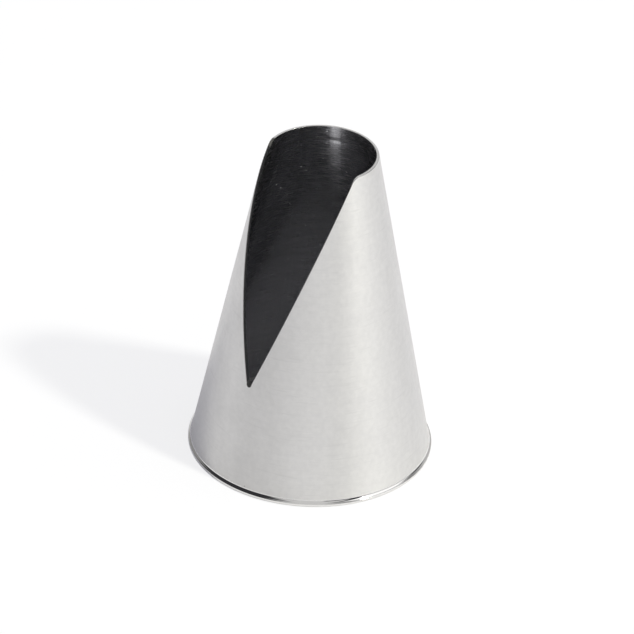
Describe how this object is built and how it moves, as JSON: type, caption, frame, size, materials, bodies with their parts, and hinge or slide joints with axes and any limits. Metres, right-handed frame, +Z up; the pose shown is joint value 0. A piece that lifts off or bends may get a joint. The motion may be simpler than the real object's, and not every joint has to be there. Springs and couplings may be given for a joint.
{
  "type": "piping nozzle",
  "caption": "Open stainless steel cone with a V-shaped outlet cut into its narrow end, for piping cream from a pastry bag.",
  "frame": {"origin": "centre of the round base, in the plane that the nozzle stands on", "axes": "+Z up the cone's axis to the tip, and -Y towards the V-shaped outlet"},
  "size_m": [0.0368, 0.0368, 0.05],
  "materials": {
    "satin_steel": "satin stainless sheet with fine lines round the cone",
    "polished_steel": "mirror-bright polished stainless rim"
  },
  "bodies": {
    "root": {"nozzle_cone": "satin_steel", "base_ring": "polished_steel"}
  },
  "joints": []
}
